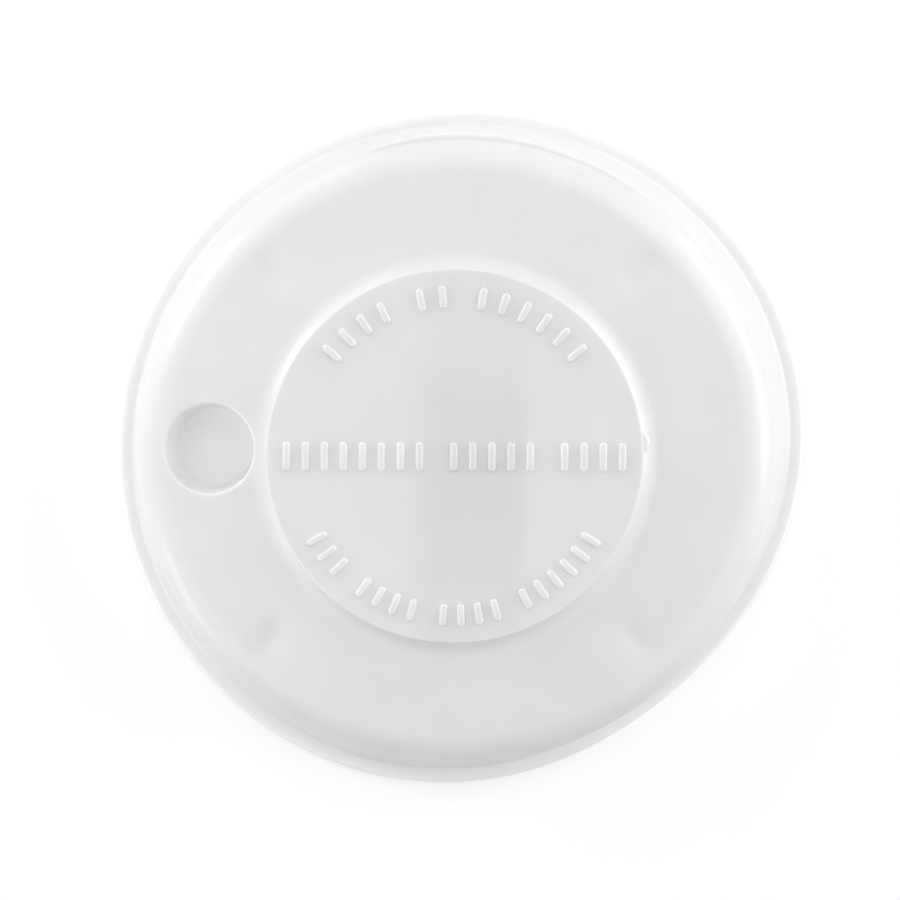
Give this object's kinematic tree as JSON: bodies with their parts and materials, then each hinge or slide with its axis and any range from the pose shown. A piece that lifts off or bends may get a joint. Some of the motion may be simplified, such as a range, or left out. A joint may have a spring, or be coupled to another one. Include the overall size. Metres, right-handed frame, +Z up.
{
  "type": "vent cap",
  "caption": "Shallow round push-on vent cap: raised round panel with plain raised bars, sloping deck, blind round pocket, rounded shoulder, drafted skirt, thin lip and legs under the deck.",
  "frame": {"origin": "centre of the lip's underside, on the cap's axis", "axes": "+Z up along the cap's axis, out of the raised panel; the blind pocket lies towards -X"},
  "size_m": [0.15, 0.15, 0.0155],
  "materials": {
    "shell": "satin natural white polyethylene, slightly translucent where it is thin"
  },
  "bodies": {
    "root": {"cap": "shell"}
  },
  "joints": []
}
